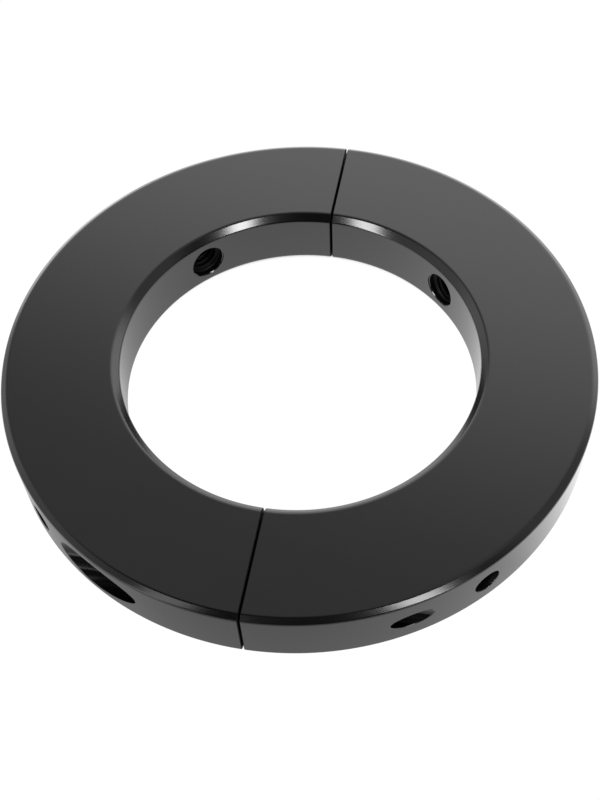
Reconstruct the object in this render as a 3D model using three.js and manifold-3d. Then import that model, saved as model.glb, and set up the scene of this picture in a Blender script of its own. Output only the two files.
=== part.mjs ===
// Two-piece split clamp ring for a 76.2 mm (3 in) tube, in millimetres, +Z up along the bore.
// The origin is on the bore's axis at the lower face. The split plane is X = 0, and both clamp
// screws lie along X. The two halves are one part used twice: the right one is the left one
// turned half a turn about Z, with its own clamp screw and set screws.
import * as THREE from 'three';
import { mergeVertices } from 'three/addons/utils/BufferGeometryUtils.js';
import Module from 'manifold-3d';

const wasm = await Module();
wasm.setup();

// Ring
const OUTER_RADIUS = 62.5;
const BORE_RADIUS = 38.1;
const RING_WIDTH = 14.3; // along the bore
const OUTER_CHAMFER = { width: 1.3, depth: 0.8 }; // across the flat face, and down the wall
const BORE_CHAMFER = 1.45;
const SPLIT_GAP = 0.4; // between the halves when the clamp is closed
const MID_HEIGHT = RING_WIDTH / 2;

// Clamp screws: 10-32 socket head, 1 in long. Threads are plain, at about the pitch diameter.
const CLAMP_OFFSET = 54; // bore axis to screw axis
const CLAMP_SEAT = 14; // split plane to the shoulder that the head sits on
const CLAMP_LENGTH = 25.4;
const CLAMP_SHANK_RADIUS = 2.15;
const CLAMP_TAPPED_RADIUS = 2.3;
const CLAMP_CLEARANCE_RADIUS = 2.6;
const COUNTERBORE_RADIUS = 4.8;
const HEAD_RADIUS = 3.96;
const HEAD_HEIGHT = 4.83;
const HEAD_EDGE = 0.3; // chamfer round the top of the head
const HEAD_SOCKET_DEPTH = 2.4;
const SEAT_PLAY = 0.1; // head to shoulder
const TIP_CHAMFER = 0.6;

// Set screws: 5/16-18, 1/2 in long, put in from the bore and driven through a small outer hole
const SET_AZIMUTHS = { rear: 135, front: -135 }; // degrees from +X, on the left half
const SET_LENGTH = 12.7;
const SET_RADIUS = 3.6;
const SET_TAPPED_RADIUS = 3.97;
const SET_TAPPED_DEPTH = 20.8; // from the bore's wall
const SET_KEY_HOLE_RADIUS = 2.9;
const SET_MOUTH_RADIUS = 4.2; // chamfered mouth of the tapped hole, in the bore
const SET_SOCKET_DEPTH = 4;
const SET_END_PLAY = 0.3; // screw's outer end to the shoulder, backed right off
const CUP_RADIUS = 2.1;
const CUP_DEPTH = 0.9;
const CUP_BEVEL = 1.3;

const HEX_KEY = 3.97; // 5/32 in across flats, for all six screws
const OVERRUN = 5; // how far a cutter runs past the metal

const RING_SIDES = 96;
const SCREW_SIDES = 24;

const anodised = { color: 0x3a393a, roughness: 0.38, metalness: 1.0 };
const blackOxide = { color: 0x26262a, roughness: 0.45, metalness: 1.0 };

function solidOf(geometry) {
  const bare = geometry.clone();
  bare.deleteAttribute('normal');
  bare.deleteAttribute('uv');
  const merged = mergeVertices(bare);
  return new wasm.Manifold(new wasm.Mesh({
    numProp: 3,
    vertProperties: new Float32Array(merged.attributes.position.array),
    triVerts: new Uint32Array(merged.index.array),
  }));
}

function geometryOf(solid) {
  const mesh = solid.getMesh();
  const geometry = new THREE.BufferGeometry();
  geometry.setAttribute('position', new THREE.BufferAttribute(mesh.vertProperties, 3));
  geometry.setIndex(new THREE.BufferAttribute(mesh.triVerts, 1));
  return geometry;
}

// A round shape about X, from [distance along X, radius] pairs given from -X to +X
function turned(stations, sides = SCREW_SIDES) {
  const profile = stations.map(([along, radius]) => new THREE.Vector2(radius, along));
  return new THREE.LatheGeometry(profile, sides).rotateZ(-Math.PI / 2);
}

function rod(from, to, radius, sides = SCREW_SIDES) {
  return turned([[from, 0], [from, radius], [to, radius], [to, 0]], sides);
}

function hexSocket(from, to) {
  return rod(from, to, HEX_KEY / Math.sqrt(3), 6);
}

function wholeRing() {
  const outer = OUTER_RADIUS - OUTER_CHAMFER.width;
  const bore = BORE_RADIUS + BORE_CHAMFER;
  const section = [
    [BORE_RADIUS, BORE_CHAMFER],
    [bore, 0],
    [outer, 0],
    [OUTER_RADIUS, OUTER_CHAMFER.depth],
    [OUTER_RADIUS, RING_WIDTH - OUTER_CHAMFER.depth],
    [outer, RING_WIDTH],
    [bore, RING_WIDTH],
    [BORE_RADIUS, RING_WIDTH - BORE_CHAMFER],
    [BORE_RADIUS, BORE_CHAMFER],
  ].map(([radius, height]) => new THREE.Vector2(radius, height));
  return new THREE.LatheGeometry(section, RING_SIDES).rotateX(Math.PI / 2);
}

// Puts a shape made along X on the ray that leaves the bore's axis at an azimuth, half way up
function onRay(geometry, azimuth) {
  return geometry.rotateZ(THREE.MathUtils.degToRad(azimuth)).translate(0, 0, MID_HEIGHT);
}

// The left half: the counterbore is at its front end, the tapped clamp hole at its rear end
function halfRing() {
  const reach = OUTER_RADIUS + OVERRUN;
  const shoulder = BORE_RADIUS + SET_TAPPED_DEPTH;
  const mouthDepth = SET_MOUTH_RADIUS - SET_TAPPED_RADIUS;
  const block = new THREE.BoxGeometry(reach, 2 * reach, RING_WIDTH + 2 * OVERRUN)
    .translate(-reach / 2 - SPLIT_GAP / 2, 0, MID_HEIGHT);
  const cutters = [
    rod(-CLAMP_SEAT - OVERRUN, OVERRUN, CLAMP_CLEARANCE_RADIUS).translate(0, -CLAMP_OFFSET, MID_HEIGHT),
    rod(-reach, -CLAMP_SEAT, COUNTERBORE_RADIUS).translate(0, -CLAMP_OFFSET, MID_HEIGHT),
    rod(-reach, OVERRUN, CLAMP_TAPPED_RADIUS).translate(0, CLAMP_OFFSET, MID_HEIGHT),
  ];
  for (const azimuth of Object.values(SET_AZIMUTHS)) {
    const hole = [
      [BORE_RADIUS - OVERRUN, 0],
      [BORE_RADIUS - OVERRUN, SET_MOUTH_RADIUS],
      [BORE_RADIUS, SET_MOUTH_RADIUS],
      [BORE_RADIUS + mouthDepth, SET_TAPPED_RADIUS],
      [shoulder, SET_TAPPED_RADIUS],
      [shoulder, SET_KEY_HOLE_RADIUS],
      [reach, SET_KEY_HOLE_RADIUS],
      [reach, 0],
    ];
    cutters.push(onRay(turned(hole), azimuth));
  }
  let half = solidOf(wholeRing()).intersect(solidOf(block));
  for (const cutter of cutters) half = half.subtract(solidOf(cutter));
  return geometryOf(half);
}

// Points along +X with the underside of its head at X = 0
function clampScrew() {
  const body = turned([
    [-HEAD_HEIGHT, 0],
    [-HEAD_HEIGHT, HEAD_RADIUS - HEAD_EDGE],
    [-HEAD_HEIGHT + HEAD_EDGE, HEAD_RADIUS],
    [0, HEAD_RADIUS],
    [0, CLAMP_SHANK_RADIUS],
    [CLAMP_LENGTH - TIP_CHAMFER, CLAMP_SHANK_RADIUS],
    [CLAMP_LENGTH, CLAMP_SHANK_RADIUS - TIP_CHAMFER],
    [CLAMP_LENGTH, 0],
  ]);
  const socket = hexSocket(-HEAD_HEIGHT - OVERRUN, -HEAD_HEIGHT + HEAD_SOCKET_DEPTH);
  return geometryOf(solidOf(body).subtract(solidOf(socket)));
}

// Cup point towards the bore, socket outwards, on the +X ray from the bore's axis
function setScrew() {
  const outerEnd = BORE_RADIUS + SET_TAPPED_DEPTH - SET_END_PLAY;
  const point = outerEnd - SET_LENGTH;
  const body = turned([
    [point + CUP_DEPTH, 0],
    [point, CUP_RADIUS],
    [point + CUP_BEVEL, SET_RADIUS],
    [outerEnd - TIP_CHAMFER, SET_RADIUS],
    [outerEnd, SET_RADIUS - TIP_CHAMFER],
    [outerEnd, 0],
  ]);
  const socket = hexSocket(outerEnd - SET_SOCKET_DEPTH, outerEnd + OVERRUN);
  return geometryOf(solidOf(body).subtract(solidOf(socket)));
}

function mesh(name, geometry, finish) {
  const piece = new THREE.Mesh(geometry, new THREE.MeshStandardMaterial(finish));
  piece.name = name;
  return piece;
}

// One half with the clamp screw whose head it holds and its two set screws. "near" is the end
// that the clamp screw's head is at, and "far" is the other end.
function halfSet(side, near, far) {
  const set = new THREE.Group();
  set.add(mesh(`half_ring_${side}`, halfRing(), anodised));
  const screw = mesh(`clamp_screw_${near}`, clampScrew(), blackOxide);
  screw.position.set(-CLAMP_SEAT - SEAT_PLAY, -CLAMP_OFFSET, MID_HEIGHT);
  set.add(screw);
  for (const [end, azimuth] of [[near, SET_AZIMUTHS.front], [far, SET_AZIMUTHS.rear]]) {
    const setPiece = mesh(`set_screw_${side}_${end}`, setScrew(), blackOxide);
    setPiece.position.z = MID_HEIGHT;
    setPiece.rotation.z = THREE.MathUtils.degToRad(azimuth);
    set.add(setPiece);
  }
  return set;
}

const clampRing = new THREE.Group();
const rightSet = halfSet('right', 'rear', 'front');
rightSet.rotation.z = Math.PI;
clampRing.add(halfSet('left', 'front', 'rear'), rightSet);

export default clampRing;
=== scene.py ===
import math

import bmesh
import bpy
from mathutils import Matrix, Vector


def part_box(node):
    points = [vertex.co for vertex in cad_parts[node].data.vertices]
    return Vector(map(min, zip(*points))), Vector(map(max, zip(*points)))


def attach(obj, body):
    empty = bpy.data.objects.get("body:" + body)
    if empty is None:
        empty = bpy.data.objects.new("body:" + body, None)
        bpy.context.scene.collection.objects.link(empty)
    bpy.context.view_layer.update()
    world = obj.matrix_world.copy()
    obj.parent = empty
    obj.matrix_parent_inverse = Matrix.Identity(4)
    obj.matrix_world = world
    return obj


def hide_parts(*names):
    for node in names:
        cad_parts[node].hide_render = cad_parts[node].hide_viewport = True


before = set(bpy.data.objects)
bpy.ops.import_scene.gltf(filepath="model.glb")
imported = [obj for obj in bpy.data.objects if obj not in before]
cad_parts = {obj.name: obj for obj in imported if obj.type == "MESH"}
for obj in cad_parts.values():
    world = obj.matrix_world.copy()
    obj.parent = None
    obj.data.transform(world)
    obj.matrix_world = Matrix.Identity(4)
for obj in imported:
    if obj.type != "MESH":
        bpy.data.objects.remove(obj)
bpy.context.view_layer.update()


# ---- Left half of the ring ---------------------------------------------------------------
# Half of a flat ring in 6061 aluminium: turned all over, its edges chamfered on the lathe, bored
# and tapped for the screws, then sawn through the middle and black anodised.
MILLIMETRE = 0.001
left_low, left_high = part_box("half_ring_left")
OUTER_RADIUS = -left_low.x / MILLIMETRE
RING_WIDTH = (left_high.z - left_low.z) / MILLIMETRE
SPLIT_FACE = left_high.x / MILLIMETRE  # just short of X = 0, half of the gap
BORE_RADIUS = 38.1
OUTER_CHAMFER_WIDTH, OUTER_CHAMFER_DEPTH = 1.3, 0.8  # across the flat face, and down the wall
BORE_CHAMFER = 1.45
SAWN_EDGE = 0.15  # chamfer that breaks the saw cut's edges
RIM_EDGE = 0.15  # round on the holes' rims in the outer wall
MID_HEIGHT = RING_WIDTH / 2
CLAMP_OFFSET = 54  # bore axis to clamp screw axis
CLAMP_SEAT = 14  # split plane to the shoulder under the screw's head
SEAT_PLAY = 0.1
CLEARANCE_RADIUS = 2.6  # of the plain hole between the seat and the split
COUNTERBORE_RADIUS = 4.8
TAPPED_LENGTH = 17  # split plane to the end of the clamp screw's thread
PLAIN_RUN_RADIUS = 2.25  # from there the hole runs on plain to the wall
SET_AZIMUTHS = (135, -135)  # degrees from +X, of the left half's rear and front set screws
SHOULDER = 58.9  # bore axis to the shoulder that a set screw backs off to
RELIEF = 1.6  # groove in front of the shoulder, where the tap runs out
KEY_HOLE_RADIUS = 2.9
MOUTH_RADIUS = 4.12  # of the set screw's hole, where it meets the bore
LEAD = 1.3  # how deep the first turn starts
CLAMP_PITCH, CLAMP_CREST, CLAMP_ROOT = 0.79375, 2.413, 2.0  # 10-32
SET_PITCH, SET_CREST, SET_ROOT = 1.411, 3.97, 3.3  # 5/16-18
RUN = 5  # how far a cutter runs past the metal


def add_node(tree, kind, settings=None, inputs=None):
    """Adds a node. An input takes a plain value, or the socket that feeds it."""
    node = tree.nodes.new(kind)
    for name, value in (settings or {}).items():
        setattr(node, name, value)
    for name, value in (inputs or {}).items():
        if isinstance(value, bpy.types.NodeSocket):
            tree.links.new(value, node.inputs[name])
        else:
            node.inputs[name].default_value = value
    return node


def linear(hex_colour):
    """The linear RGBA of an sRGB colour written as six hex digits."""
    parts = [int(hex_colour[i:i + 2], 16) / 255 for i in (0, 2, 4)]
    return [p / 12.92 if p <= 0.04045 else ((p + 0.055) / 1.055) ** 2.4 for p in parts] + [1]


def per_millimetre(count):
    """A texture scale for that many repeats in a millimetre, on coordinates in metres."""
    return count / MILLIMETRE


def black_anodised():
    """Black dyed, sealed anodising on turned aluminium: a hard clear oxide over a dyed layer.
    It gives almost no colour of its own, a satin gloss, and a strong shine at low angles."""
    material = bpy.data.materials.new("black_anodised_aluminium")
    material.use_nodes = True
    tree = material.node_tree
    shader = tree.nodes["Principled BSDF"]
    place = add_node(tree, "ShaderNodeTexCoord").outputs["Object"]
    # dye takes a little unevenly, in patches of about a centimetre
    patches = add_node(tree, "ShaderNodeTexNoise", {"noise_dimensions": "3D"},
                       {"Vector": place, "Scale": per_millimetre(1 / 11), "Detail": 3.0})
    tint = add_node(tree, "ShaderNodeMix", {"data_type": "RGBA"},
                    {"Factor": patches.outputs["Fac"], "A": linear("1a1717"), "B": linear("141518")})
    tree.links.new(tint.outputs["Result"], shader.inputs["Base Color"])
    # feed marks of the turning tool, rings on the flat faces and bands on the walls. The real
    # ones are about 0.1 mm apart, drawn at 0.35 mm so that they show
    parts = add_node(tree, "ShaderNodeSeparateXYZ", None, {"Vector": place}).outputs
    flat = add_node(tree, "ShaderNodeCombineXYZ", None, {"X": parts["X"], "Y": parts["Y"]})
    radius = add_node(tree, "ShaderNodeVectorMath", {"operation": "LENGTH"}, {0: flat.outputs[0]})
    feed = add_node(tree, "ShaderNodeMath", {"operation": "ADD"},
                    {0: radius.outputs["Value"], 1: parts["Z"]})
    marks = add_node(tree, "ShaderNodeTexNoise", {"noise_dimensions": "1D"},
                     {"W": feed.outputs[0], "Scale": per_millimetre(1 / 0.35), "Detail": 2.0})
    # tooth of the etched skin under the oxide. The real one is some hundredths of a millimetre,
    # drawn at 0.25 mm so that it shows
    tooth = add_node(tree, "ShaderNodeTexNoise", {"noise_dimensions": "3D"},
                     {"Vector": place, "Scale": per_millimetre(1 / 0.25), "Detail": 2.0})
    surface = add_node(tree, "ShaderNodeMath", {"operation": "ADD"},
                       {0: marks.outputs["Fac"], 1: tooth.outputs["Fac"]})
    bump = add_node(tree, "ShaderNodeBump", None,
                    {"Height": surface.outputs[0], "Strength": 0.04, "Distance": 0.00002})
    tree.links.new(bump.outputs["Normal"], shader.inputs["Normal"])
    gloss = add_node(tree, "ShaderNodeMapRange", None,
                     {"Value": patches.outputs["Fac"], "To Min": 0.15, "To Max": 0.2})
    tree.links.new(gloss.outputs["Result"], shader.inputs["Roughness"])
    shader.inputs["IOR"].default_value = 1.68
    return material


def turned(stations, sides=48):
    """A closed shape turned about X, from (place along X, radius) stations."""
    shape = bmesh.new()
    points = [shape.verts.new((along, radius, 0)) for along, radius in stations]
    lines = [shape.edges.new(pair) for pair in zip(points, points[1:])]
    bmesh.ops.spin(shape, geom=points + lines, cent=(0, 0, 0), axis=(1, 0, 0), dvec=(0, 0, 0),
                   angle=2 * math.pi, steps=sides, use_merge=True)
    bmesh.ops.remove_doubles(shape, verts=shape.verts, dist=1e-4)
    bmesh.ops.recalc_face_normals(shape, faces=shape.faces)
    return shape


def threaded(start, end, crest, root, pitch, sides=40):
    """A rod about X with a real right-hand thread, pointed at both ends. The thread's phase
    depends only on the place along X, so a screw and its hole made alike run together."""
    first = math.floor(start / pitch) * pitch
    turns = math.ceil((end - first) / pitch)
    shape = bmesh.new()
    flank = (crest - root) * math.tan(math.radians(30))
    root_flat = pitch * 7 / 8 - 2 * flank  # the crest's flat is an eighth of the pitch
    outline = [
        (0, root), (root_flat, root), (root_flat + flank, crest), (pitch - flank, crest), (pitch, root),
    ]
    points = [shape.verts.new((first + along, radius, 0)) for along, radius in outline]
    lines = [shape.edges.new(pair) for pair in zip(points, points[1:])]
    bmesh.ops.spin(shape, geom=points + lines, cent=(0, 0, 0), axis=(1, 0, 0),
                   dvec=(pitch / sides, 0, 0), angle=2 * math.pi * turns, steps=sides * turns,
                   use_merge=False)
    bmesh.ops.remove_doubles(shape, verts=shape.verts, dist=1e-3)
    loose = [edge for edge in shape.edges if edge.is_boundary]
    middle = first + turns * pitch / 2
    for low in (True, False):
        ring = [edge for edge in loose if (edge.verts[0].co.x < middle) == low]
        tip = bmesh.ops.extrude_edge_only(shape, edges=ring)
        corners = [part for part in tip["geom"] if isinstance(part, bmesh.types.BMVert)]
        place = first - pitch if low else first + (turns + 2) * pitch
        bmesh.ops.pointmerge(shape, verts=corners, merge_co=(place, 0, 0))
    bmesh.ops.recalc_face_normals(shape, faces=shape.faces)
    return shape


def workpiece(shape, name, *moves):
    """Puts a finished bmesh in the scene as an object, moved by the matrices in turn."""
    for move in moves:
        bmesh.ops.transform(shape, matrix=move, verts=shape.verts)
    mesh = bpy.data.meshes.new(name)
    shape.to_mesh(mesh)
    shape.free()
    thing = bpy.data.objects.new(name, mesh)
    bpy.context.scene.collection.objects.link(thing)
    return thing


def carve(thing, shape, *moves, how="DIFFERENCE"):
    """Cuts a shape out of an object, or with another operation joins or keeps it."""
    tool = workpiece(shape, "tool", *moves)
    modifier = thing.modifiers.new("carve", "BOOLEAN")
    modifier.operation, modifier.object, modifier.solver = how, tool, "MANIFOLD"
    view = thing.evaluated_get(bpy.context.evaluated_depsgraph_get())
    before, after = thing.data, bpy.data.meshes.new_from_object(view)
    thing.modifiers.clear()
    thing.data = after
    bpy.data.meshes.remove(before)
    bpy.data.objects.remove(tool)


def on_ray(azimuth):
    """The move that puts a shape made along X on a ray from the bore's axis, half way up."""
    return Matrix.Translation((0, 0, MID_HEIGHT)) @ Matrix.Rotation(math.radians(azimuth), 4, "Z")


def finished(thing, material, body, slot, *nodes):
    """Shades a piece, turns it to metres, and sets it on its CAD body."""
    thing.data.transform(Matrix.Scale(MILLIMETRE, 4))
    thing.data.materials.clear()
    thing.data.materials.append(material)
    thing.data.shade_smooth()
    thing.data.set_sharp_from_angle(angle=math.radians(32))
    weighted = thing.modifiers.new("flat faces stay flat", "WEIGHTED_NORMAL")
    weighted.keep_sharp = True
    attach(thing, body)
    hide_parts(*nodes)


def half_ring_blank():
    """The turned ring's left half, with chamfered edges and lightly broken saw-cut edges."""
    blank = bmesh.new()
    margin = 0.6  # a line just past each chamfer keeps the flats flat
    softening = 0.3  # a chamfer's own corners are not quite sharp
    bore, outer = BORE_RADIUS + BORE_CHAMFER, OUTER_RADIUS - OUTER_CHAMFER_WIDTH
    lower = [
        (BORE_RADIUS, BORE_CHAMFER + margin), (BORE_RADIUS, BORE_CHAMFER), (bore, 0), (bore + margin, 0),
        (outer - margin, 0), (outer, 0), (OUTER_RADIUS, OUTER_CHAMFER_DEPTH),
        (OUTER_RADIUS, OUTER_CHAMFER_DEPTH + margin),
    ]
    upper = [(radius, RING_WIDTH - height) for radius, height in reversed(lower)]
    corners = [blank.verts.new((0, radius, height)) for radius, height in lower + upper]
    blank.faces.new(corners)
    turned_edges = [c for place, c in enumerate(corners) if place % len(lower) in (1, 2, 5, 6)]
    bmesh.ops.bevel(blank, geom=turned_edges, offset=softening, offset_type="OFFSET",
                    affect="VERTICES", segments=4, profile=0.5, material=-1, clamp_overlap=False)
    bmesh.ops.delete(blank, geom=blank.faces[:], context="FACES_ONLY")
    bmesh.ops.spin(blank, geom=blank.verts[:] + blank.edges[:], cent=(0, 0, 0), axis=(0, 0, 1),
                   dvec=(0, 0, 0), angle=math.pi, steps=180, use_merge=False)
    bmesh.ops.bisect_plane(blank, geom=blank.verts[:] + blank.edges[:] + blank.faces[:],
                           plane_co=(SPLIT_FACE, 0, 0), plane_no=(1, 0, 0), clear_outer=True)
    bmesh.ops.holes_fill(blank, edges=[e for e in blank.edges if e.is_boundary], sides=0)
    bmesh.ops.recalc_face_normals(blank, faces=blank.faces)
    sawn = {f for f in blank.faces if f.normal.x > 0.99 and len(f.verts) > 8}
    sawn_edges = [e for e in blank.edges if sawn.intersection(e.link_faces)]
    bmesh.ops.bevel(blank, geom=sawn_edges, offset=SAWN_EDGE, offset_type="OFFSET", affect="EDGES",
                    segments=1, profile=0.5, material=-1, clamp_overlap=False)
    return blank


def break_rims(thing, size):
    """Rounds the sharp rims that the holes leave in the outer wall, away from the split."""
    shape = bmesh.new()
    shape.from_mesh(thing.data)
    sharp, near_split = math.radians(24), -2

    def on_wall(vert):
        return abs(math.hypot(vert.co.x, vert.co.y) - OUTER_RADIUS) < 0.01 and vert.co.x < near_split

    def rim_edges():
        return [e for e in shape.edges if all(on_wall(v) for v in e.verts) and e.is_manifold
                and e.calc_face_angle() > sharp]

    # the cut leaves some rim points too close together to round evenly
    rims = set(rim_edges())
    rim_points = [v for v in shape.verts if rims.intersection(v.link_edges)]
    bmesh.ops.remove_doubles(shape, verts=rim_points, dist=0.06)
    bmesh.ops.bevel(shape, geom=rim_edges(), offset=size, offset_type="OFFSET", affect="EDGES",
                    segments=3, profile=0.5, material=-1, clamp_overlap=False)
    shape.to_mesh(thing.data)
    shape.free()


half_turn = Matrix.Rotation(math.pi, 4, "Z")
at_screw = Matrix.Translation((0, -CLAMP_OFFSET, MID_HEIGHT))
screw_place = Matrix.Translation((-CLAMP_SEAT - SEAT_PLAY, -CLAMP_OFFSET, MID_HEIGHT))
past_wall = OUTER_RADIUS + RUN
left_half = workpiece(half_ring_blank(), "half_ring_left_body")
clearance = [
    (-CLAMP_SEAT - RUN, 0), (-CLAMP_SEAT - RUN, CLEARANCE_RADIUS), (RUN, CLEARANCE_RADIUS), (RUN, 0),
]
carve(left_half, turned(clearance), at_screw)
counterbore = [
    (-past_wall, 0), (-past_wall, COUNTERBORE_RADIUS), (-CLAMP_SEAT, COUNTERBORE_RADIUS), (-CLAMP_SEAT, 0),
]
carve(left_half, turned(counterbore, 64), at_screw)
tapped = [
    (-RUN, 0), (-RUN, CLAMP_ROOT), (TAPPED_LENGTH, CLAMP_ROOT), (TAPPED_LENGTH + 0.4, PLAIN_RUN_RADIUS),
    (past_wall, PLAIN_RUN_RADIUS), (past_wall, 0),
]
carve(left_half, turned(tapped, 40), at_screw, half_turn)
groove = SHOULDER - RELIEF
step = SET_CREST - SET_ROOT
set_hole = [
    (BORE_RADIUS - RUN, 0), (BORE_RADIUS - RUN, MOUTH_RADIUS), (BORE_RADIUS, MOUTH_RADIUS),
    (BORE_RADIUS + MOUTH_RADIUS - SET_CREST, SET_CREST), (BORE_RADIUS + LEAD, SET_CREST),
    (BORE_RADIUS + LEAD + step, SET_ROOT), (groove, SET_ROOT), (groove, SET_CREST),
    (SHOULDER, SET_CREST), (SHOULDER, KEY_HOLE_RADIUS), (past_wall, KEY_HOLE_RADIUS), (past_wall, 0),
]
for azimuth in SET_AZIMUTHS:
    carve(left_half, turned(set_hole), on_ray(azimuth))
break_rims(left_half, RIM_EDGE)
# the taps come last, and their cores are a hair slimmer than the drilled holes, so that only
# the thread itself cuts. They end a little short of the groove and of the plain run
SLIMMER, SHORT = 0.02, 1
clamp_tap = threaded(CLAMP_SEAT - 2, CLAMP_SEAT + TAPPED_LENGTH - SHORT, CLAMP_CREST,
                     CLAMP_ROOT - SLIMMER, CLAMP_PITCH)
carve(left_half, clamp_tap, screw_place, half_turn)
for azimuth in SET_AZIMUTHS:
    set_tap = threaded(BORE_RADIUS + LEAD + 0.1, groove - SHORT, SET_CREST, SET_ROOT - SLIMMER, SET_PITCH)
    carve(left_half, set_tap, on_ray(azimuth))


def cut_anodised():
    """The same dye and oxide over sawn faces and tapped holes. The torn metal under it is matt,
    and its fine teeth shade each other, so that little is mirrored even at low angles."""
    material = bpy.data.materials.new("black_anodised_sawn_and_tapped_aluminium")
    material.use_nodes = True
    tree = material.node_tree
    shader = tree.nodes["Principled BSDF"]
    place = add_node(tree, "ShaderNodeTexCoord").outputs["Object"]
    # tool marks of about 0.3 mm
    tears = add_node(tree, "ShaderNodeTexNoise", {"noise_dimensions": "3D"},
                     {"Vector": place, "Scale": per_millimetre(1 / 0.3), "Detail": 3.0})
    bump = add_node(tree, "ShaderNodeBump", None,
                    {"Height": tears.outputs["Fac"], "Strength": 0.4, "Distance": 0.00003})
    tree.links.new(bump.outputs["Normal"], shader.inputs["Normal"])
    shader.inputs["Base Color"].default_value = linear("121112")
    shader.inputs["Roughness"].default_value = 0.6
    shader.inputs["Specular IOR Level"].default_value = 0.15
    return material


def dull_cuts(thing, material):
    """Gives the split face and the inside of the set screw holes the duller finish."""
    thing.data.materials.append(material)
    sawn_depth = SAWN_EDGE - SPLIT_FACE + 0.01
    for face in thing.data.polygons:
        x, y, z = face.center / MILLIMETRE
        sawn = abs(x) < sawn_depth
        off_ray = abs(abs(x) - abs(y)) / math.sqrt(2)  # the set screws' rays are all diagonals
        inside = BORE_RADIUS + 0.3 < math.hypot(x, y) < OUTER_RADIUS - 0.2
        tapped_face = inside and max(off_ray, abs(z - MID_HEIGHT)) < SET_CREST + 0.1
        face.material_index = 1 if sawn or tapped_face else 0


anodised, cut_finish = black_anodised(), cut_anodised()
right_mesh = left_half.data.copy()
finished(left_half, anodised, "left_half", "anodised_aluminium", "half_ring_left")
dull_cuts(left_half, cut_finish)


# ---- Right half of the ring --------------------------------------------------------------
# The same part again, turned half a turn about the bore, so that each half holds the head of
# one clamp screw and the thread of the other.
right_mesh.transform(half_turn)
right_half = bpy.data.objects.new("half_ring_right_body", right_mesh)
bpy.context.scene.collection.objects.link(right_half)
finished(right_half, anodised, "right_half", "anodised_aluminium", "half_ring_right")
dull_cuts(right_half, cut_finish)


# ---- Clamp screws ------------------------------------------------------------------------
# Two 10-32 socket head cap screws, 25.4 mm long, in alloy steel: cold headed, with a rolled
# thread and a knurled head, and blackened. Each lies along X, sunk in the outer wall.
HEAD_RADIUS, HEAD_HEIGHT, CLAMP_LENGTH = 3.96, 4.83, 25.4
HEX_CORNER = 3.97 / math.sqrt(3)  # 5/32 in across flats
CLAMP_SOCKET = 2.4  # depth of the hexagon
PLAIN_NECK = 4.4  # unthreaded length under the head
THREAD_PLAY = 0.03  # screw to hole, on the radius


def black_oxide():
    """Hot black oxide on alloy steel: a thin dark skin over the metal, slightly oily. It gives
    a dark brownish grey with a soft metal shine."""
    material = bpy.data.materials.new("black_oxide_alloy_steel")
    material.use_nodes = True
    tree = material.node_tree
    shader = tree.nodes["Principled BSDF"]
    place = add_node(tree, "ShaderNodeTexCoord").outputs["Object"]
    # salt bath colour, cloudy over a millimetre or so
    cloud = add_node(tree, "ShaderNodeTexNoise", {"noise_dimensions": "3D"},
                     {"Vector": place, "Scale": per_millimetre(1 / 1.5), "Detail": 3.0})
    tint = add_node(tree, "ShaderNodeMix", {"data_type": "RGBA"},
                    {"Factor": cloud.outputs["Fac"], "A": linear("2e2c2c"), "B": linear("3d3a38")})
    tree.links.new(tint.outputs["Result"], shader.inputs["Base Color"])
    # grain left by rolling and heading, finer than a tenth of a millimetre, drawn at 0.12 mm
    grain = add_node(tree, "ShaderNodeTexNoise", {"noise_dimensions": "3D"},
                     {"Vector": place, "Scale": per_millimetre(1 / 0.12), "Detail": 2.0})
    bump = add_node(tree, "ShaderNodeBump", None,
                    {"Height": grain.outputs["Fac"], "Strength": 0.2, "Distance": 0.00002})
    tree.links.new(bump.outputs["Normal"], shader.inputs["Normal"])
    gloss = add_node(tree, "ShaderNodeMapRange", None,
                     {"Value": cloud.outputs["Fac"], "To Min": 0.34, "To Max": 0.5})
    tree.links.new(gloss.outputs["Result"], shader.inputs["Roughness"])
    shader.inputs["Metallic"].default_value = 1.0
    return material


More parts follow.
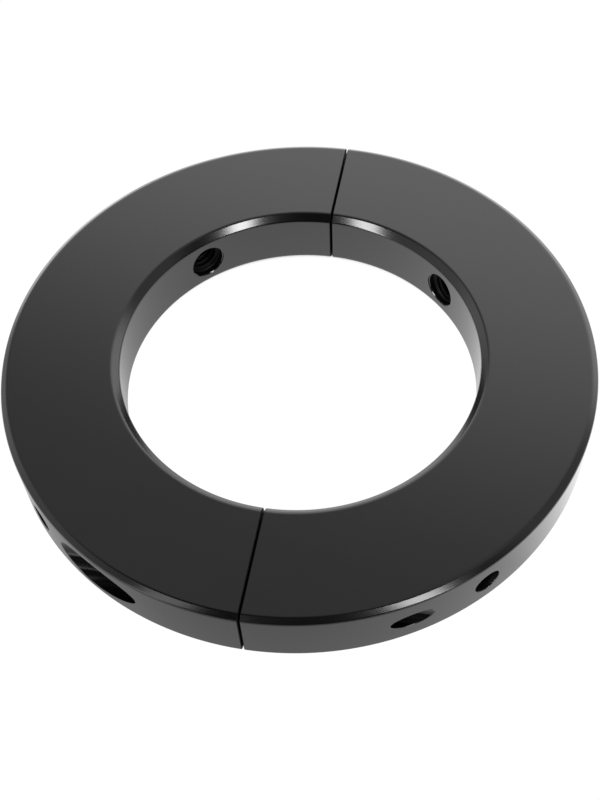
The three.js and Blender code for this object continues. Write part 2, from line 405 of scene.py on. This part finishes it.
def clamp_screw(name):
    """Points along +X with the underside of its head at X = 0."""
    top_edge, under_edge, fillet = 0.45, 0.35, 0.16
    neck, thread_core, neck_end = 2.39, 1.9, PLAIN_NECK + 0.8
    head = turned([
        (-HEAD_HEIGHT, 0), (-HEAD_HEIGHT, HEAD_RADIUS - top_edge),
        (top_edge / 2 - HEAD_HEIGHT, HEAD_RADIUS - 0.1), (top_edge - HEAD_HEIGHT, HEAD_RADIUS),
        (-under_edge, HEAD_RADIUS), (0, HEAD_RADIUS - under_edge), (0, neck + fillet), (fillet, neck),
        (PLAIN_NECK, neck), (PLAIN_NECK + 0.4, thread_core), (neck_end, thread_core), (neck_end, 0),
    ], 60)
    # the knurl, one groove to each face round the head
    side = [f for f in head.faces if abs(f.normal.x) < 0.1
            and f.calc_center_median().yz.length > HEAD_RADIUS * 0.98 and f.calc_area() > 1]
    bmesh.ops.inset_individual(head, faces=side, thickness=0.07, depth=-0.1, use_even_offset=True)
    screw = workpiece(head, name)
    thread = workpiece(threaded(PLAIN_NECK - 2, CLAMP_LENGTH + 2, CLAMP_CREST - THREAD_PLAY,
                                CLAMP_ROOT - 2 * THREAD_PLAY, CLAMP_PITCH), "thread")
    tip, clear = 1.8, 2.6  # radius of the two ends, and past the thread's crest
    envelope = turned([
        (PLAIN_NECK + 0.2, 0), (PLAIN_NECK + 0.2, tip), (PLAIN_NECK + 0.9, clear),
        (CLAMP_LENGTH - 0.6, clear), (CLAMP_LENGTH, tip), (CLAMP_LENGTH, 0),
    ], 40)
    carve(thread, envelope, how="INTERSECT")
    shank = bmesh.new()
    shank.from_mesh(thread.data)
    bpy.data.objects.remove(thread)
    carve(screw, shank, how="UNION")
    socket = turned([
        (-HEAD_HEIGHT - RUN, 0), (-HEAD_HEIGHT - RUN, HEX_CORNER),
        (CLAMP_SOCKET - HEAD_HEIGHT, HEX_CORNER), (CLAMP_SOCKET + 0.8 - HEAD_HEIGHT, 0),
    ], 6)
    carve(screw, socket)
    # a shallow cone leads the key into the hexagon
    above, below = -0.5 - HEAD_HEIGHT, 0.35 - HEAD_HEIGHT
    lead = turned([(above, 0), (above, HEX_CORNER + 0.6), (below, HEX_CORNER - 0.25), (below, 0)], 60)
    carve(screw, lead)
    return screw


oxide = black_oxide()
front_screw = clamp_screw("clamp_screw_front_body")
rear_screw = clamp_screw("clamp_screw_rear_body")
front_screw.data.transform(screw_place)
rear_screw.data.transform(half_turn @ screw_place)
finished(front_screw, oxide, "front_clamp_screw", "black_oxide_steel", "clamp_screw_front")
finished(rear_screw, oxide, "rear_clamp_screw", "black_oxide_steel", "clamp_screw_rear")


# ---- Set screws --------------------------------------------------------------------------
# Four 5/16-18 socket set screws, 12.7 mm long, with cup points, in the same blackened steel.
# They go in from the bore, and a key reaches them through the small outer holes.
SET_OUTER_END, SET_LENGTH, SET_SOCKET = 58.6, 12.7, 4
CUP_RADIUS, CUP_DEPTH, CUP_BEVEL = 2.1, 0.9, 1.75


def set_screw(name, azimuth):
    """Cup point towards the bore, socket outwards, half way up the ring on its ray."""
    point = SET_OUTER_END - SET_LENGTH
    clear, socket_end = 4.2, 3.1  # radius past the thread's crest, and round the socket
    screw = workpiece(threaded(point - 1, SET_OUTER_END + 1, SET_CREST - THREAD_PLAY,
                               SET_ROOT - 3 * THREAD_PLAY, SET_PITCH), name)
    envelope = turned([
        (point + CUP_DEPTH, 0), (point, CUP_RADIUS), (point + 0.1, CUP_RADIUS + 0.2),
        (point + CUP_BEVEL, clear), (SET_OUTER_END - 0.9, clear), (SET_OUTER_END, socket_end),
        (SET_OUTER_END, 0),
    ])
    carve(screw, envelope, how="INTERSECT")
    hexagon_end = SET_OUTER_END - SET_SOCKET
    socket = turned([
        (hexagon_end - 0.6, 0), (hexagon_end, HEX_CORNER), (SET_OUTER_END + RUN, HEX_CORNER),
        (SET_OUTER_END + RUN, 0),
    ], 6)
    carve(screw, socket)
    screw.data.transform(on_ray(azimuth))
    return screw


SET_SCREWS = (
    ("left", "front", -135), ("left", "rear", 135), ("right", "front", -45), ("right", "rear", 45),
)
for side, end, azimuth in SET_SCREWS:
    set_piece = set_screw(f"set_screw_{side}_{end}_body", azimuth)
    finished(set_piece, oxide, f"{side}_{end}_set_screw", "black_oxide_steel", f"set_screw_{side}_{end}")


# ---- Table and light ---------------------------------------------------------------------
# A sheet of white paper under the ring that glows with painted light and painted contact shade,
# with a bright wall behind that fades to a dark ceiling, a white card at the left, and a strip
# light in front at each side.
VIEW_TURN = math.radians(9.06)  # the camera's turn about the ring, from looking along +Y
behind = Vector((-math.sin(VIEW_TURN), math.cos(VIEW_TURN), 0))
to_right = Vector((math.cos(VIEW_TURN), math.sin(VIEW_TURN), 0))
WALL_TURN = math.radians(15)  # the bright wall is centred a little to the right
centre = Vector((0, 0, RING_WIDTH / 2)) * MILLIMETRE

table_shape = bmesh.new()
bmesh.ops.create_grid(table_shape, x_segments=8, y_segments=8, size=4)
table_mesh = bpy.data.meshes.new("table")
table_shape.to_mesh(table_mesh)
table_shape.free()
table = bpy.data.objects.new("table", table_mesh)
bpy.context.scene.collection.objects.link(table)
paper = bpy.data.materials.new("white_paper_with_painted_light")
paper.use_nodes = True
paper_tree = paper.node_tree
paper_tree.nodes.clear()
paper_place = add_node(paper_tree, "ShaderNodeTexCoord").outputs["Object"]
# painted contact shade: the paper's glow darkens only where the ring all but closes it in
open_sky = add_node(paper_tree, "ShaderNodeAmbientOcclusion", {"samples": 8}, {"Distance": 0.008})
painted_contact_shade = add_node(paper_tree, "ShaderNodeMapRange", {"interpolation_type": "SMOOTHSTEP"},
                   {"Value": open_sky.outputs["AO"], "From Min": 0.03, "From Max": 0.2})
# painted light: the paper's glow falls off towards the front left, by three to five for each metre
slope = add_node(paper_tree, "ShaderNodeVectorMath", {"operation": "DOT_PRODUCT"},
                 {0: paper_place, 1: to_right * 3 + behind * 5})
spread = add_node(paper_tree, "ShaderNodeMath", {"operation": "ADD"}, {0: slope.outputs["Value"], 1: 0.91})
held = add_node(paper_tree, "ShaderNodeClamp", None,
                {"Value": spread.outputs[0], "Min": 0.4, "Max": 1.4})
# and, as painted light, it is strongest just past the ring's two sides
across = add_node(paper_tree, "ShaderNodeVectorMath", {"operation": "DOT_PRODUCT"},
                  {0: paper_place, 1: to_right}).outputs["Value"]
paper_light = held.outputs[0]
# where it starts and where it is full, in metres to the right, and how much is added
PAINTED_SIDE_LIGHT = ((0.045, 0.06, 0.45), (-0.056, -0.066, 1.1))
for starts, full, extra in PAINTED_SIDE_LIGHT:
    side = add_node(paper_tree, "ShaderNodeMapRange", None,
                    {"Value": across, "From Min": starts, "From Max": full, "To Max": extra})
    paper_light = add_node(paper_tree, "ShaderNodeMath", {"operation": "ADD"},
                           {0: paper_light, 1: side.outputs["Result"]}).outputs[0]
mirrored = add_node(paper_tree, "ShaderNodeMath", {"operation": "MULTIPLY"},
                    {0: paper_light, 1: painted_contact_shade.outputs["Result"]})
# looked at straight, it glows an even white just past full, darkened only by the painted contact shade
straight = add_node(paper_tree, "ShaderNodeMath", {"operation": "MULTIPLY"},
                    {0: painted_contact_shade.outputs["Result"], 1: 1.02})
looked_at = add_node(paper_tree, "ShaderNodeLightPath").outputs["Is Camera Ray"]
level = add_node(paper_tree, "ShaderNodeMix", None,
                 {"Factor": looked_at, 2: mirrored.outputs[0], 3: straight.outputs[0]})
# the paper's light is all painted glow; no lamp lights it
glowing = add_node(paper_tree, "ShaderNodeEmission", None, {"Strength": level.outputs[0]})
add_node(paper_tree, "ShaderNodeOutputMaterial", None, {"Surface": glowing.outputs[0]})
table.data.materials.append(paper)

room = bpy.data.worlds.new("studio")
bpy.context.scene.world = room
room.use_nodes = True
room_tree = room.node_tree
room_tree.nodes.clear()
direction = add_node(room_tree, "ShaderNodeTexCoord").outputs["Generated"]
towards_wall = add_node(room_tree, "ShaderNodeVectorMath", {"operation": "DOT_PRODUCT"},
                        {0: direction, 1: behind * math.cos(WALL_TURN) + to_right * math.sin(WALL_TURN)})
lift = add_node(room_tree, "ShaderNodeMapRange", None,
                {"Value": towards_wall.outputs["Value"], "From Min": -0.4, "From Max": 0.8})
wall_fade = add_node(room_tree, "ShaderNodeValToRGB", None, {"Fac": lift.outputs["Result"]})
ROOM_STRENGTH = 2.0  # a colour stop holds one at the most
# place from in front of the ring (0) to the middle of the wall (1), and how bright it is there
wall_stops = (
    (0.0, 0.02), (0.2, 0.04), (0.38, 0.4), (0.717, 0.36), (0.783, 0.64), (0.85, 1.15), (0.917, 1.55),
)
ramp = wall_fade.color_ramp
while len(ramp.elements) < len(wall_stops):
    ramp.elements.new(0.5)
for element, (stop, level) in zip(ramp.elements, wall_stops):
    element.position = stop
    element.color = (level / ROOM_STRENGTH, level / ROOM_STRENGTH, level / ROOM_STRENGTH, 1)
# a white card stands low at the left, out of sight
towards_card = add_node(room_tree, "ShaderNodeVectorMath", {"operation": "DOT_PRODUCT"},
                        {0: direction, 1: to_right * -0.99 + Vector((0, 0, 0.14))})
card = add_node(room_tree, "ShaderNodeMapRange", {"interpolation_type": "SMOOTHSTEP"},
                {"Value": towards_card.outputs["Value"], "From Min": 0.6, "From Max": 0.95,
                 "To Max": 0.28})
lit_room = add_node(room_tree, "ShaderNodeVectorMath", {"operation": "ADD"},
                    {0: wall_fade.outputs["Color"], 1: card.outputs["Result"]}).outputs[0]
glow = add_node(room_tree, "ShaderNodeBackground", None, {"Color": lit_room, "Strength": ROOM_STRENGTH})
seen = add_node(room_tree, "ShaderNodeBackground", None, {"Color": (0.9, 0.9, 0.9, 1), "Strength": 1.0})
ray = add_node(room_tree, "ShaderNodeLightPath")
mixed = add_node(room_tree, "ShaderNodeMixShader", None,
                 {0: ray.outputs["Is Camera Ray"], 1: glow.outputs[0], 2: seen.outputs[0]})
add_node(room_tree, "ShaderNodeOutputWorld", None, {"Surface": mixed.outputs[0]})


LIGHT_DISTANCE = 1.2


def strip_light(name, azimuth, elevation, width, height, power, falls_on):
    """A tall soft light aimed at the ring, placed by degrees from the camera's right and up. It
    shows only in reflections, and only on the pieces that it falls on."""
    turn, lift = math.radians(azimuth), math.radians(elevation)
    out = to_right * math.cos(turn) + behind * math.sin(turn)
    aim = out * math.cos(lift) + Vector((0, 0, math.sin(lift)))
    lamp = bpy.data.lights.new(name, "AREA")
    lamp.shape, lamp.size, lamp.size_y, lamp.energy = "RECTANGLE", width, height, power
    thing = bpy.data.objects.new(name, lamp)
    thing.location = centre + aim * LIGHT_DISTANCE
    thing.rotation_euler = aim.to_track_quat("Z", "Y").to_euler()
    thing.visible_diffuse = False
    lit = bpy.data.collections.new("lit_by_" + name)
    for piece in falls_on:
        lit.objects.link(piece)
    thing.light_linking.receiver_collection = lit
    bpy.context.scene.collection.objects.link(thing)


# each side's light is screened for one half, which gets a weaker one beside it
strip_light("strip_light_left", azimuth=-130, elevation=28, width=0.24, height=1.0, power=10,
            falls_on=(right_half,))
strip_light("strip_light_left_screened", azimuth=-135, elevation=28, width=0.24, height=1.0, power=1.3,
            falls_on=(left_half,))
strip_light("strip_light_right", azimuth=-54, elevation=38, width=0.22, height=0.8, power=9,
            falls_on=(left_half, front_screw, rear_screw))
strip_light("strip_light_right_screened", azimuth=-51, elevation=38, width=0.22, height=0.8, power=5.2,
            falls_on=(right_half,))
bpy.context.scene.view_settings.view_transform = "Standard"


# ---- Camera ------------------------------------------------------------------------------
# Close and high in front of the ring, with a standard lens, looking down at its middle.
CAMERA_DISTANCE = 252.2
CAMERA_ELEVATION = math.radians(54.78)
ASIDE, ABOVE = -10.425, 6.67  # ring's centre from the lens axis, to the right and up
ahead = behind * math.cos(CAMERA_ELEVATION) - Vector((0, 0, math.sin(CAMERA_ELEVATION)))
upward = behind * math.sin(CAMERA_ELEVATION) + Vector((0, 0, math.cos(CAMERA_ELEVATION)))
lens = bpy.data.cameras.new("camera")
lens.lens, lens.sensor_width = 52.62, 36
lens.shift_x = -0.0625  # the picture is framed a little to the left of the axis
lens.clip_start = 0.01
camera = bpy.data.objects.new("camera", lens)
axes = Matrix((to_right, upward, -ahead)).transposed().to_4x4()
spot = centre - (ahead * CAMERA_DISTANCE + to_right * ASIDE + upward * ABOVE) * MILLIMETRE
camera.matrix_world = Matrix.Translation(spot) @ axes
bpy.context.scene.collection.objects.link(camera)
bpy.context.scene.camera = camera


# ---- Final update of the scene -----------------------------------------------------------
bpy.context.view_layer.update()
